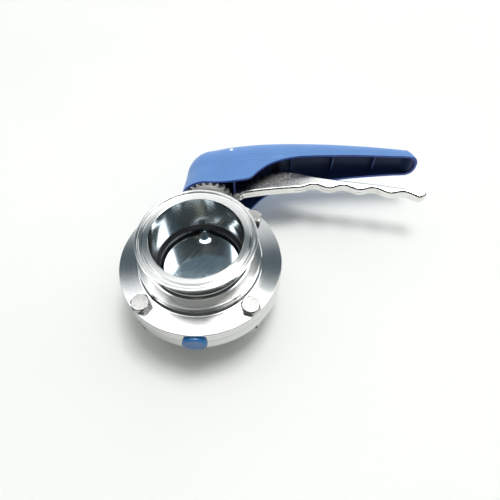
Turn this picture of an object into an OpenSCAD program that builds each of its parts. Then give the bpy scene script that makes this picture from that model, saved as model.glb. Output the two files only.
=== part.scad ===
// Sanitary butterfly valve with clamp ferrules and a locking lever handle.
// Frame: Z is the flow axis and Z = 0 is the lower ferrule face. Y is the stem axis, towards
// the handle. X is the direction of the handle with the valve closed.

/* [Ports] */
// Outer diameter of the clamp ferrules
ferrule_d = 91; // [90:0.5:92]
// Bore of the flow passage
bore_d = 71; // [70:0.5:72]
// Distance between the two ferrule faces
face_to_face = 88; // [86:1:92]
// Outer diameter of the tube between ferrule and boss
neck_d = 76; // [75:0.5:78]
// Height of the ferrule's straight rim
rim_h = 2.6; // [2.2:0.1:3]
// Slope of the ferrule's clamping face, in degrees
ferrule_slope = 20; // [18:1:22]
// Middle diameter of the gasket groove
groove_d = 83.5; // [83:0.1:84]
// Depth of the gasket groove
groove_depth = 1.6; // [1.2:0.1:2]

/* [Flange] */
// Diameter of the bolted flange
flange_d = 130; // [129:1:134]
// Thickness of each half of the flange
flange_t = 11.5; // [11:0.5:13]
// Diameter of the raised boss
boss_d = 97; // [96:0.5:99]
// Height of the boss above the flange
boss_h = 9.3; // [8.5:0.1:10]
// Diameter of the bolt circle
bolt_circle_d = 116.4; // [116:0.2:118]

/* [Fasteners] */
// Thread diameter of the flange bolts
bolt_d = 8; // [6:1:8]
// Width of the hex heads and nuts across their flats
bolt_af = 13.5; // [12:0.5:13.5]
// Height of the hex heads
head_h = 5.3; // [4.5:0.1:6]
// Height of the nuts
nut_h = 6.5; // [6:0.1:7]
// Thickness of the spring washers
washer_t = 2; // [1.6:0.2:2.2]

/* [Disc and stem] */
// Diameter of the disc
disc_d = 65.8; // [65:0.2:66]
// Thickness of the disc
disc_t = 6; // [5:0.5:7]
// Diameter of the stem
stem_d = 15; // [14:0.5:15.5]
// Side of the stem's square end
square_w = 10.5; // [9:0.5:10.5]

/* [Index plate] */
// Number of teeth
teeth = 24; // [20:2:24]
// Diameter over the tips of the teeth
tip_d = 43.6; // [43:0.1:43.8]
// Diameter at the roots of the teeth
root_d = 37.4; // [36.8:0.2:38]
// Thickness of the plate
plate_t = 3.5; // [3:0.5:4]

/* [Handle] */
// Distance from the stem axis to the tip of the grip
grip_length = 197.5; // [190:0.5:205]
// Radius of the hub at its open end
hub_r = 24.7; // [24.6:0.1:26]
// Thickness of the grip's walls
grip_wall = 2.3; // [2:0.1:2.4]
// Thickness of the trigger
trigger_t = 9.3; // [8:0.1:10]
// Diameter of the trigger's pin
pin_d = 5; // [4:0.5:5]

/* [Hidden] */
$fn = 96;

// Small clearances and edge breaks
run_gap = 0.05;      // between a shaft and its hole
slip_gap = 0.3;      // between a bolt and its drilled hole
eps = 0.01;          // overlap of two solids that are joined
past = 1;            // how far a cutter runs past a face
edge = 0.6;          // broken edge on turned steel
fine_edge = 0.3;     // broken edge at the split and on the ferrules

// Heights along the flow axis
mid = face_to_face / 2;                 // stem axis, and the split between the halves
flange_top = mid + flange_t;
boss_top = flange_top + boss_h;

// Radii about the flow axis
bore_r = bore_d / 2;
neck_r = neck_d / 2;
ferrule_r = ferrule_d / 2;
flange_r = flange_d / 2;
boss_r = boss_d / 2;
groove_r = groove_d / 2;
groove_half_w = 1.9;
groove_flank = 0.8;                     // width of the groove's sloping sides
neck_fillet = 4;
boss_fillet = 1.7;

// Seat ring: heights are measured from the split
disc_r = disc_d / 2;
disc_edge = 2.2;                        // width of the disc's rounded edge
seat_r = disc_r + 0.25;                 // sealing land
seat_land = 8;                          // half height of the land
seat_half_h = 11;                       // half height at the bore wall
seat_back_r = 41;
seat_rib_r = 44;
seat_rib_half_h = 3;

// Stations along the stem, all measured from the flow axis
stem_r = stem_d / 2;
seal_y = 47.2;                           // middle of each O-ring
seal_half_w = 1.6;
seal_wire_r = 1.45;
seal_ring_r = stem_r + run_gap + seal_wire_r;
bush_r = 9.5;
bush_start = 60;
collar_r = 15;                          // neck that carries the index plate
collar_start = flange_r - 6;
plate_y = 73.6;                         // face of the index plate nearest the flange
plate_seat_r = 13;
plate_flat = 11.8;                      // half width across the plate's two locating flats
collar_end = plate_y + plate_t + 2.6;
square_start = collar_end + 1.2;
square_end = 104.6;
nose_start = 19.5;                      // where the disc's stem bosses rise out of its faces
nose_end = 32;                          // where they reach the full radius of the stem
lower_bush_start = 50;
lower_bush_end = 58;
plug_seat_y = flange_r - 0.8;
plug_face_y = flange_r + 2.7;
plug_r = 9.4;
plug_shank_r = 8.6;

// Handle: X runs along the grip and Y along the stem
washer_y = 108;                         // seat of the handle screw's washer
screw_washer_t = 1.6;
screw_head_r = 6.5;
screw_head_h = 8;
screw_well_r = 8.2;
socket_boss_r = 12;
hub_floor_y = 84;                       // height inside the hub clear of the collar
pin_x = 20;
pin_y = 115;
grip_slope = 8;                         // slope of the hub's open edge, in degrees
hub_edge_y = 74.2;                      // that edge at the stem axis
rib_x = [77, 117, 157];
rib_t = 1.6;
rib_edge_y = 121.5;
hub_rib_x = 30;
spring_x = 62;
spring_low_y = 104.2;
spring_top_y = 129;
pin_length = 43.4;
post_r = 2.4;                           // round posts inside the spring
trigger_half = trigger_t / 2;
side_gap = 0.4;                         // between the trigger and the bosses beside it

// Form of the grip
grip_floor_y = 60;                      // its solid starts here, below the open edge
slice = 0.1;                            // thickness of the thin slices that shape it
hub_round_y = 104;                      // above this the rounds belong to the hub's top
// Cross sections: X, half width, height where the sides begin to round, top height
grip_sections = [
    [20, 24.1, 97, 126], [50, 22.5, 103.5, 130.8], [80, 20.6, 108.5, 133.2],
    [113, 18, 113, 134.2], [145, 15.5, 116, 133.6], [172, 13.2, 117.5, 131.8],
    [188, 11.2, 117.5, 129.6], [194.5, 8.6, 117.5, 126.4], [grip_length, 4.5, 117.5, 121.5]
];
// Rounds of the hub end: height and share of the hub's radius
hub_rounds = [[66, 1.01], [84, 0.98], [104, 0.87], [110, 0.8], [115, 0.66], [118.5, 0.44]];

// ---- Curves ----
function bezier(a, b, c, d, n) = [for (i = [0:n]) let (t = i / n, s = 1 - t)
    s * s * s * a + 3 * s * s * t * b + 3 * s * t * t * c + t * t * t * d];
function arc(cx, cy, r, a0, a1, n) = [for (i = [0:n]) let (a = a0 + (a1 - a0) * i / n)
    [cx + r * cos(a), cy + r * sin(a)]];
// Quarter-to-quarter superellipse over the sides of a grip section, as [across, height]
function crown(w, y0, y1) = [for (i = [0:12]) let (a = 180 * i / 12, c = cos(a), s = sin(a))
    [w * sign(c) * pow(abs(c), 2 / 3), y0 + (y1 - y0) * pow(abs(s), 2 / 3)]];

// ---- Placement helpers ----
module along_stem(y = 0) { translate([0, y, mid]) rotate([-90, 0, 0]) children(); }
// Round bar on the stem axis from y0 to y1
module stem_bar(r, y0, y1) { along_stem(y0) rotate(45) cylinder(r = r, h = y1 - y0); }
module at_bolt(i) { rotate([0, 0, 45 + 90 * i]) translate([bolt_circle_d / 2, 0, 0]) children(); }
module ring(r_out, r_in, h) {
    difference() {
        cylinder(r = r_out, h = h);
        translate([0, 0, -past]) cylinder(r = r_in, h = h + 2 * past);
    }
}
// Puts an X-Y outline at the middle of the valve, with thickness t along Z
module side_plate(t) { translate([0, 0, mid - t / 2]) linear_extrude(t) children(); }

// ---- Body ----
// Half section of one body half, with the height measured from the split
module half_section() {
    top = face_to_face - mid;
    rim_low = top - rim_h;
    foot = flange_t;
    crest = boss_top - mid;
    neck_high = rim_low - (ferrule_r - neck_r) * tan(ferrule_slope);
    polygon(concat(
        [[seat_rib_r, 0], [flange_r - fine_edge, 0], [flange_r, fine_edge],
         [flange_r, foot - edge], [flange_r - edge, foot]],
        arc(boss_r + boss_fillet, foot + boss_fillet, boss_fillet, 270, 180, 5),
        [[boss_r, crest - edge], [boss_r - edge, crest]],
        arc(neck_r + neck_fillet, crest + neck_fillet, neck_fillet, 270, 180, 6),
        [[neck_r, neck_high], [ferrule_r, rim_low],
         [ferrule_r, top - fine_edge], [ferrule_r - fine_edge, top],
         [groove_r + groove_half_w, top],
         [groove_r + groove_half_w - groove_flank, top - groove_depth],
         [groove_r - groove_half_w + groove_flank, top - groove_depth],
         [groove_r - groove_half_w, top],
         [bore_r + fine_edge, top], [bore_r, top - fine_edge], [bore_r, seat_half_h],
         [seat_back_r, seat_half_h], [seat_back_r, seat_rib_half_h],
         [seat_rib_r, seat_rib_half_h]]
    ));
}
module stem_collar() {
    seat_t = plate_t + 2 * past;
    stem_bar(collar_r, collar_start, plate_y);
    along_stem(plate_y - past) intersection() {
        rotate(45) cylinder(r = plate_seat_r, h = seat_t);
        translate([-plate_flat, -collar_r, 0]) cube([2 * plate_flat, 2 * collar_r, seat_t]);
    }
    stem_bar(collar_r, plate_y + plate_t, collar_end);
}
module stem_passages() {
    far = flange_d;
    seal_room = seal_ring_r + seal_wire_r + 2 * run_gap;
    stem_bar(stem_r + run_gap, -lower_bush_end, bush_start + past);
    for (y = [-seal_y, seal_y]) stem_bar(seal_room, y - seal_half_w, y + seal_half_w);
    stem_bar(bush_r, bush_start, far);
    stem_bar(bush_r, -lower_bush_end, -lower_bush_start);
    stem_bar(plug_shank_r, -far, -lower_bush_end + past);
    stem_bar(plug_r + 2 * run_gap, -far, -plug_seat_y);
}
// The half above the split when up is true, and the half below it when not
module body_half(up) {
    box = 2 * collar_r + 2 * past;
    difference() {
        union() {
            translate([0, 0, mid]) mirror([0, 0, up ? 0 : 1]) rotate_extrude() half_section();
            intersection() {
                stem_collar();
                translate([-box / 2, collar_start / 2, up ? mid : mid - box])
                    cube([box, collar_end, box]);
            }
        }
        stem_passages();
        for (i = [0:3]) at_bolt(i) cylinder(r = bolt_d / 2 + slip_gap, h = face_to_face);
    }
}
module upper_body() { color("gainsboro") body_half(true); }
module lower_body() { color("gainsboro") body_half(false); }

module seat_ring() {
    color([0.08, 0.08, 0.08]) difference() {
        translate([0, 0, mid]) rotate_extrude() polygon([
            [seat_r, -seat_land], [seat_r, seat_land], [bore_r, seat_half_h],
            [seat_back_r, seat_half_h], [seat_back_r, seat_rib_half_h],
            [seat_rib_r, seat_rib_half_h], [seat_rib_r, -seat_rib_half_h],
            [seat_back_r, -seat_rib_half_h], [seat_back_r, -seat_half_h], [bore_r, -seat_half_h]
        ]);
        stem_bar(stem_r + run_gap, -bush_start, bush_start);
    }
}

// ---- Disc and stem ----
// Half of the stem, with a hollow-sided nose that rises out of the face of the disc
module nosed_bar(end) {
    low_r = disc_t / 2 - 0.4;
    rotate(45) rotate_extrude() polygon(concat(
        [[0, nose_start]],
        bezier([low_r, nose_start], [low_r + 0.9, nose_start + 5.5],
               [stem_r - 2.6, nose_end - 3.4], [stem_r, nose_end], 8),
        [[stem_r, end], [0, end]]
    ));
}
module disc() {
    tapped_depth = 20;
    color("silver") {
        difference() {
            union() {
                translate([0, 0, mid]) rotate(20) rotate_extrude() polygon(concat(
                    [[0, disc_t / 2]],
                    [for (a = [90:-22.5:-90])
                        [disc_r - disc_edge + disc_edge * cos(a), disc_t / 2 * sin(a)]],
                    [[0, -disc_t / 2]]
                ));
                along_stem() nosed_bar(square_start);
                along_stem() rotate([180, 0, 0]) nosed_bar(lower_bush_end);
                along_stem(square_start - past) translate([-square_w / 2, -square_w / 2, 0])
                    cube([square_w, square_w, square_end - square_start + past]);
            }
            along_stem(square_end - tapped_depth)
                cylinder(r = bolt_d / 2 + run_gap, h = tapped_depth + past);
        }
    }
}

// ---- Small rings on the stem ----
module bush(y, h) { color("white") along_stem(y) ring(bush_r, stem_r + run_gap, h); }
module upper_bush() { bush(bush_start, collar_end - bush_start); }
module lower_bush() { bush(-lower_bush_end, lower_bush_end - lower_bush_start); }
module stem_seal(y) {
    color([0.1, 0.1, 0.1]) along_stem(y) rotate_extrude() translate([seal_ring_r, 0])
        circle(r = seal_wire_r, $fn = 32);
}

module end_plug() {
    head = plug_face_y - plug_seat_y;
    shank = plug_seat_y - lower_bush_end - past;
    round = 1.2;
    color("dodgerblue") along_stem(-plug_seat_y) rotate([180, 0, 0]) rotate_extrude() polygon(concat(
        [[0, head]],
        arc(plug_r - round, head - round, round, 90, 0, 6),
        [[plug_r, 0], [plug_shank_r, 0], [plug_shank_r, -shank], [0, -shank]]
    ));
}

// ---- Index plate ----
module index_plate() {
    root_half = 1.6;                    // half widths of a tooth
    tip_half = 0.8;
    foot_r = root_d / 2 - past;
    color("lightgray") along_stem(plate_y) linear_extrude(plate_t) difference() {
        union() {
            circle(r = root_d / 2);
            for (i = [0:teeth - 1]) rotate(360 / teeth * (i + 0.5)) polygon([
                [foot_r, -root_half], [tip_d / 2, -tip_half],
                [tip_d / 2, tip_half], [foot_r, root_half]
            ]);
        }
        intersection() {
            circle(r = plate_seat_r + run_gap);
            square([2 * (plate_flat + run_gap), root_d], center = true);
        }
    }
}

// ---- Fasteners ----
washer_z = mid - flange_t - washer_t;
nut_z = washer_z - nut_h;
// Hexagon with the corners of both ends turned off when both is true, or of the top only
module hex(h, both) {
    corner_r = bolt_af / 2 / cos(30);
    face_r = bolt_af / 2 - 0.2;         // round face left by the turning
    wide_r = corner_r + 0.3;
    cut = 0.8;                          // height of the turned corners
    intersection() {
        cylinder(r = corner_r, h = h, $fn = 6);
        rotate_extrude() polygon([
            [0, 0], [both ? face_r : wide_r, 0], [wide_r, both ? cut : 0],
            [wide_r, h - cut], [face_r, h], [0, h]
        ]);
    }
}
module flange_bolt(i) {
    end_z = nut_z - 3;
    color("whitesmoke") at_bolt(i) {
        translate([0, 0, flange_top]) rotate(20 * i) hex(head_h, false);
        translate([0, 0, end_z]) cylinder(r = bolt_d / 2, h = flange_top - end_z + eps);
    }
}
module spring_washer(i) {
    split = 1.2;
    color("silver") at_bolt(i) translate([0, 0, washer_z]) difference() {
        ring(bolt_af / 2 + 0.15, bolt_d / 2 + 3 * run_gap, washer_t);
        rotate(35) translate([0, -split / 2, -past]) cube([bolt_af, split, washer_t + 2 * past]);
    }
}
module flange_nut(i) {
    color("whitesmoke") at_bolt(i) translate([0, 0, nut_z]) difference() {
        rotate(10 + 25 * i) hex(nut_h, true);
        translate([0, 0, -past]) cylinder(r = bolt_d / 2 + run_gap, h = nut_h + 2 * past);
    }
}

// ---- Handle ----
// Solid form of the grip, shrunk on all sides by inset
module grip_form(inset) {
    hull() {
        for (s = grip_sections) translate([s[0] - (s[0] == grip_length ? inset : 0), 0, mid])
            rotate([0, 90, 0]) linear_extrude(slice) polygon(concat(
                [[s[1] - inset, grip_floor_y], [inset - s[1], grip_floor_y]],
                crown(inset - s[1], s[2], s[3] - inset)
            ));
        for (k = hub_rounds) along_stem(k[0] - (k[0] > hub_round_y ? inset : 0))
            cylinder(r = hub_r * k[1] - inset, h = slice, $fn = 48);
    }
}
// Everything on the grip's side of its open edge
module grip_side() {
    near = -2 * hub_r;
    far = grip_length + 10;
    high = 2 * washer_y;
    hub_x = 36;                         // where the hub's straight edge ends
    linear_extrude(2 * mid + 2 * hub_r) polygon(concat(
        [[near, hub_edge_y + near * tan(grip_slope)], [hub_x, hub_edge_y + hub_x * tan(grip_slope)]],
        bezier([39.5, 81], [56, 105], [80, 112], [150, 115.4], 12),
        [[far, 118], [far, high], [near, high]]
    ));
}
// Ribs, webs and bosses inside the grip, left long and cut to its form later
module grip_inside_parts() {
    reach = 2 * hub_r;
    // square socket on the stem
    along_stem(hub_floor_y) cylinder(r = socket_boss_r, h = reach);
    // webs from the socket to the side walls
    translate([-rib_t / 2, hub_floor_y + 6, mid - reach]) cube([rib_t, reach, 2 * reach]);
    for (side = [0, 1]) translate([0, 0, mid]) mirror([0, 0, side]) {
        // rib beside the trigger, where the hub meets the channel
        translate([hub_rib_x, grip_floor_y, trigger_half + 2]) cube([rib_t, 2 * reach, reach]);
        // boss that holds the trigger's pin
        translate([pin_x, pin_y, trigger_half + side_gap]) cylinder(r = pin_d, h = reach);
    }
    // ribs across the channel
    for (x = rib_x) translate([x, rib_edge_y, mid - reach]) cube([rib_t, reach, 2 * reach]);
    // post inside the spring
    spring_post(spring_top_y - 5, reach);
}
// Round post on the spring's axis, standing along Y
module spring_post(y, h) {
    translate([spring_x, 0, 0]) along_stem(y) cylinder(r = post_r, h = h);
}
module handle_grip() {
    socket_w = square_w + 2 * run_gap;
    socket_end = square_end + 0.4;
    color("royalblue") difference() {
        union() {
            difference() {
                intersection() { grip_form(0); grip_side(); }
                grip_form(grip_wall);
            }
            intersection() { grip_form(grip_wall / 2); grip_side(); grip_inside_parts(); }
        }
        along_stem(hub_floor_y - past) translate([-socket_w / 2, -socket_w / 2, 0])
            cube([socket_w, socket_w, socket_end - hub_floor_y + past]);
        along_stem(hub_floor_y) cylinder(r = bolt_d / 2 + slip_gap, h = washer_y - hub_floor_y + past);
        along_stem(washer_y) cylinder(r = screw_well_r, h = washer_y);
        translate([pin_x, pin_y, -mid]) cylinder(r = pin_d / 2 + 2 * eps, h = 4 * mid);
    }
}
module handle_washer() {
    color("silver") along_stem(washer_y)
        ring(screw_well_r - 0.2, bolt_d / 2 + slip_gap, screw_washer_t);
}
module handle_screw() {
    shank = 22;
    key_r = 3.5;
    key_depth = 4.5;
    color("silver") along_stem(washer_y + screw_washer_t) difference() {
        union() {
            cylinder(r = screw_head_r, h = screw_head_h);
            translate([0, 0, -shank]) cylinder(r = bolt_d / 2, h = shank + eps);
        }
        translate([0, 0, screw_head_h - key_depth])
            cylinder(r = key_r, h = key_depth + past, $fn = 6);
    }
}

// ---- Trigger ----
// Height of the finger waves at x
function wave(x) = 86.3 - 0.00112 * pow(x - 95, 2) + 2 * cos(360 * (x - 97) / 27.5);
module trigger() {
    wave_start = 84;
    wave_end = 192;
    steps = 36;
    wave_step = (wave_end - wave_start) / steps;
    color("whitesmoke") difference() {
        union() {
            side_plate(trigger_t) polygon(concat(
                [[22.4, 74], [30.5, 74]],
                bezier([31.5, 76.4], [48, 80.5], [66, 82.4], [wave_start, wave(wave_start)], 6),
                [for (i = [1:steps]) let (x = wave_start + wave_step * i) [x, wave(x)]],
                bezier([195.5, 75.6], [199.5, 77.5], [200, 80], [195.5, 81.8], 5),
                [[160, 88.4], [122, 94], [100, 98]],
                bezier([88, 101.2], [74, 106], [58, 104.5], [44, 98], 6),
                [[34, 97], [26.3, 112]],
                arc(pin_x, pin_y, 6.3, 10, 180, 9),
                [[20.5, 98], [22.4, 79.5]]
            ));
            // tooth that drops between two teeth of the index plate
            along_stem(plate_y + 0.2) linear_extrude(plate_t - 0.4) polygon([
                [19.7, -0.7], [22.8, -1.8], [24, -1.8], [24, 1.8], [22.8, 1.8], [19.7, 0.7]
            ]);
            spring_post(100, 7);
        }
        translate([pin_x, pin_y, 0]) cylinder(r = pin_d / 2 + run_gap, h = 2 * mid);
    }
}
module trigger_pin() {
    color("white") translate([pin_x, pin_y, mid - pin_length / 2])
        cylinder(r = pin_d / 2, h = pin_length);
}
module trigger_spring() {
    coil_r = 3.6;
    wire_r = 0.6;
    turns = 8;
    rise = (spring_top_y - spring_low_y - 2 * wire_r) / (turns - 1);
    color("silver") for (i = [0:turns - 1]) translate([spring_x, 0, 0])
        along_stem(spring_low_y + wire_r + rise * i) rotate_extrude()
            translate([coil_r, 0]) circle(r = wire_r, $fn = 16);
}

upper_body();
lower_body();
seat_ring();
disc();
index_plate();
upper_bush();
lower_bush();
stem_seal(seal_y);  // upper_stem_seal
stem_seal(-seal_y);  // lower_stem_seal
end_plug();
handle_grip();
handle_washer();
handle_screw();
trigger();
trigger_pin();
trigger_spring();
for (i = [1:4]) {
    flange_bolt(i);
    spring_washer(i);
    flange_nut(i);
}
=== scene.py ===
import math

import bmesh
import bpy
from mathutils import Matrix, Vector


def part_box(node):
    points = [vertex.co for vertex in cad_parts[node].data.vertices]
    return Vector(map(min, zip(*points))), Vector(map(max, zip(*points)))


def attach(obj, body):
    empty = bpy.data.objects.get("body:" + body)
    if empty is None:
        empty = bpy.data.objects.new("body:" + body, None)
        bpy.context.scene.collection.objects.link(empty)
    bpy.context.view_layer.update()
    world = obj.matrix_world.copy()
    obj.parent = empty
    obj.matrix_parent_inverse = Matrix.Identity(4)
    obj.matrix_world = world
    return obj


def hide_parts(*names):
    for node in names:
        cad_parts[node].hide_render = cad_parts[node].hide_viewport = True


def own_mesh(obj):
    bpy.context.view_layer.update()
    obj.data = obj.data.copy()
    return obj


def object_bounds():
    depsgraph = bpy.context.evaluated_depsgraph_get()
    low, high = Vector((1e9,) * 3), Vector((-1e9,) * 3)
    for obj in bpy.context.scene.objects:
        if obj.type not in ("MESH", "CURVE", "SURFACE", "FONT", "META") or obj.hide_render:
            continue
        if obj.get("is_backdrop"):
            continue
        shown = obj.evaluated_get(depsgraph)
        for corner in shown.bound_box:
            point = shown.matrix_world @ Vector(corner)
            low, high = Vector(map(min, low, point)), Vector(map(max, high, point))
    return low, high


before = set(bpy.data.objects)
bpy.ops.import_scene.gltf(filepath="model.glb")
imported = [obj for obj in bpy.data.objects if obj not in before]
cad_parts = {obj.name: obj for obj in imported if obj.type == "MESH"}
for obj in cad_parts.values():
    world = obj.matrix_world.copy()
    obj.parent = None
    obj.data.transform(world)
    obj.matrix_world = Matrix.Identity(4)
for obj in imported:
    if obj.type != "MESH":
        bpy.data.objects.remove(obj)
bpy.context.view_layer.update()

scene = bpy.context.scene
MM = 0.001


def box_mm(node):
    """Lowest and highest corner of a CAD node, in millimetres."""
    low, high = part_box(node)
    return low / MM, high / MM


# ---- Main sizes in millimetres, read from the frame where a node's box gives them ----
upper_low, upper_high = box_mm("upper_body")
seat_high = box_mm("seat_ring")[1]
disc_high = box_mm("disc")[1]
plug_low, plug_high = box_mm("end_plug")
plate_low, plate_high = box_mm("index_plate")
MID = upper_low.z                      # height of the stem axis and of the split
TOP = upper_high.z                     # upper ferrule face
FLANGE_R = -upper_low.y
FOOT = 11.5                            # the flange's face, from the split
CREST = 20.8                           # the boss's face, from the split
BOSS_R = 48.5
NECK_R = 38.0
FERRULE_R = 45.5
RIM_H = 2.6
FERRULE_SLOPE = math.radians(20)
GROOVE_R, GROOVE_HALF, GROOVE_DEPTH = 41.75, 1.9, 1.6
BORE_R = 35.5
SEAT_BACK_R = 41.0
SEAT_RIB_R, SEAT_RIB_HALF = seat_high.x, 3.0
SEAT_HALF, SEAT_LAND, SEAT_R = seat_high.z - MID, 8.0, 33.15
DISC_R, DISC_T, DISC_EDGE = 32.9, 6.0, 2.2
STEM_R, STEM_HOLE_R = 7.5, 7.55
COLLAR_R, COLLAR_END = 15.0, upper_high.y
BUSH_R = 9.5
SQUARE = 10.5
PLATE_Y, PLATE_T = plate_low.y, plate_high.y - plate_low.y
BOLT_CIRCLE_R, BOLT_R, BOLT_AF = 58.2, 4.0, 13.5
HEAD_H = 5.3                           # of a bolt


# ---- Camera ----
camera_data = bpy.data.cameras.new("camera")
camera_data.sensor_width = 36.0
camera_data.lens = 30.58
camera = bpy.data.objects.new("camera", camera_data)
scene.collection.objects.link(camera)
scene.camera = camera
YAW, PITCH, ROLL = 0.033, 0.992, -0.013
forward = Vector((-math.sin(YAW) * math.cos(PITCH), math.cos(YAW) * math.cos(PITCH), -math.sin(PITCH)))
level = Vector((math.cos(YAW), math.sin(YAW), 0.0))
rise = level.cross(forward)
right = math.cos(ROLL) * level + math.sin(ROLL) * rise
up = -math.sin(ROLL) * level + math.cos(ROLL) * rise
camera.matrix_world = Matrix.Translation(Vector((0.04553, -0.17894, 0.34448))) @ Matrix(
    (right, up, -forward)).transposed().to_4x4()


# ---- Node materials ----
class Shade:
    """A node material around one Principled shader."""

    def __init__(self, name, color, **sockets):
        self.material = bpy.data.materials.new(name)
        self.material.use_nodes = True
        self.tree = self.material.node_tree
        self.shader = self.tree.nodes["Principled BSDF"]
        self.shader.inputs["Base Color"].default_value = (*color, 1.0)
        for key, value in sockets.items():
            self.shader.inputs[key.replace("_", " ")].default_value = value
        self.place = self.node("ShaderNodeTexCoord").outputs["Object"]
        self.last_bump = None

    def node(self, kind, **values):
        node = self.tree.nodes.new(kind)
        for key, value in values.items():
            if hasattr(value, "is_output"):
                self.tree.links.new(value, node.inputs[key])
            elif key in node.inputs:
                node.inputs[key].default_value = value
            else:
                setattr(node, key, value)
        return node

    def math(self, operation, a, b=0.0):
        node = self.node("ShaderNodeMath", operation=operation)
        for socket, value in zip(node.inputs, (a, b)):
            if hasattr(value, "is_output"):
                self.tree.links.new(value, socket)
            else:
                socket.default_value = value
        return node.outputs[0]

    def noise(self, scale, detail=3.0, place=None, stretch=None, **more):
        """Noise over the object's own space, drawn out by stretch."""
        place = place or self.place
        if stretch:
            mapping = self.node("ShaderNodeMapping", Vector=place)
            mapping.inputs["Scale"].default_value = stretch
            place = mapping.outputs[0]
        return self.node("ShaderNodeTexNoise", Vector=place, Scale=scale, Detail=detail, **more).outputs[0]

    def spread(self, value, low, high, start=0.3, end=0.7):
        """Maps start..end of value to low..high."""
        node = self.node("ShaderNodeMapRange", Value=value)
        for key, number in (("From Min", start), ("From Max", end), ("To Min", low), ("To Max", high)):
            node.inputs[key].default_value = number
        return node.outputs[0]

    def mix(self, factor, a, b):
        node = self.node("ShaderNodeMix", data_type="RGBA")
        self.tree.links.new(factor, node.inputs["Factor"])
        for index, color in ((6, a), (7, b)):
            if hasattr(color, "is_output"):
                self.tree.links.new(color, node.inputs[index])
            else:
                node.inputs[index].default_value = (*color, 1.0)
        return node.outputs[2]

    def drive(self, socket, output):
        self.tree.links.new(output, self.shader.inputs[socket])

    def bump(self, height, strength, distance):
        """Adds a bump of that height in millimetres, on top of any before it."""
        node = self.node("ShaderNodeBump", Height=height, Strength=strength, Distance=distance * MM)
        if self.last_bump:
            self.tree.links.new(self.last_bump, node.inputs["Normal"])
        self.last_bump = node.outputs[0]
        self.drive("Normal", self.last_bump)

    def turned(self):
        """Coordinates of radius and height, in which the marks of turning are level lines."""
        x, y, z = self.node("ShaderNodeSeparateXYZ", Vector=self.place).outputs
        squares = [self.math("MULTIPLY", value, value) for value in (x, y)]
        radius = self.math("SQRT", self.math("ADD", *squares))
        return self.node("ShaderNodeCombineXYZ", X=radius, Y=z).outputs[0]


STEEL = (0.66, 0.665, 0.66)


def turned_steel():
    """Lathe-turned steel: the marks run round the flow axis, and the bore is polished smoother."""
    s = Shade("turned_steel", STEEL, Metallic=1.0, Roughness=0.2, Anisotropic=0.95,
              Anisotropic_Rotation=0.25)
    s.tree.links.new(s.node("ShaderNodeTangent", direction_type="RADIAL", axis="Z").outputs[0],
                     s.shader.inputs["Tangent"])
    rings = s.turned()
    radius = s.node("ShaderNodeSeparateXYZ", Vector=rings).outputs[0]
    outside = s.spread(radius, 0.0, 1.0, (BORE_R + 0.4) * MM, (BORE_R + 0.9) * MM)
    normal = s.node("ShaderNodeNewGeometry").outputs["Normal"]
    facing = s.math("ABSOLUTE", s.node("ShaderNodeSeparateXYZ", Vector=normal).outputs[2])
    flat = s.spread(facing, 0.0, 1.0, 0.94, 0.985)
    fine = s.noise(2600, 2.0, rings)
    broad = s.noise(300, 2.0, rings)
    smudge = s.noise(45, 4.0)
    specks = s.noise(1100, 5.0, Roughness=0.7)
    s.drive("Base Color", s.mix(s.spread(broad, 0, 1), (0.66, 0.665, 0.66), (0.7, 0.7, 0.695)))
    worn = s.math("ADD", s.spread(fine, 0.0, 0.015), s.spread(smudge, -0.004, 0.004))
    worn = s.math("MULTIPLY", outside, s.math("ADD", worn, s.spread(specks, 0.0, 0.012, 0.55, 0.75)))
    on_flats = s.math("MULTIPLY", outside, s.spread(flat, 0.0, 0.09, 0, 1))
    base = s.math("ADD", s.spread(outside, 0.11, 0.08, 0, 1), on_flats)
    s.drive("Roughness", s.math("ADD", base, worn))
    s.bump(s.math("MULTIPLY", fine, outside), 0.03, 0.004)
    return s.material


def polished_steel():
    """Mirror-polished steel with fine straight scratches, and a lighter, rougher speckled haze on the
    disc's side towards negative y. Its blue tint is a painted reflection of the blue-grey surroundings.
    """
    # painted reflection: the bluish base colour stands for the blue-grey surroundings mirrored in the disc
    s = Shade("polished_steel", (0.63, 0.72, 0.78), Metallic=1.0, Roughness=0.08)
    turn = s.node("ShaderNodeMapping", Vector=s.place)
    turn.inputs["Rotation"].default_value = (0.0, 0.0, math.radians(38))
    lines = s.noise(1500, 2.0, turn.outputs[0], stretch=(1.0, 0.03, 1.0))
    specks = s.noise(700, 8.0, Roughness=0.75)
    patches = s.noise(70, 3.0)
    across = s.node("ShaderNodeSeparateXYZ", Vector=s.place).outputs[1]
    haze = s.math("MULTIPLY", s.spread(specks, 0, 1, 0.5, 0.66), s.spread(patches, 0, 1, 0.42, 0.6))
    haze = s.math("MULTIPLY", haze, s.spread(across, 1.0, 0.0, -0.012, -0.004))
    # painted reflection: both tones stay bluish for the mirrored surroundings, and the haze lightens the
    # negative-y side
    s.drive("Base Color", s.mix(haze, (0.61, 0.71, 0.77), (0.76, 0.84, 0.88)))
    s.drive("Roughness", s.math("ADD", s.spread(lines, 0.08, 0.15), s.math("MULTIPLY", haze, 0.3)))
    s.bump(lines, 0.1, 0.01)
    s.bump(haze, 0.1, 0.01)
    return s.material


def metal(name, color, low, high, grain, strength, metallic=1.0):
    """Plain metal whose roughness runs from low to high over a grain of that scale."""
    s = Shade(name, color, Metallic=metallic, Roughness=(low + high) / 2)
    broad = s.noise(grain * 0.2, 4.0)
    fine = s.noise(grain, 3.0)
    darker = tuple(c * 0.82 for c in color)
    s.drive("Base Color", s.mix(s.spread(broad, 0, 1, 0.35, 0.65), darker, color))
    s.drive("Roughness", s.spread(fine, low, high))
    s.bump(fine, strength, 0.03)
    return s.material


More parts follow.
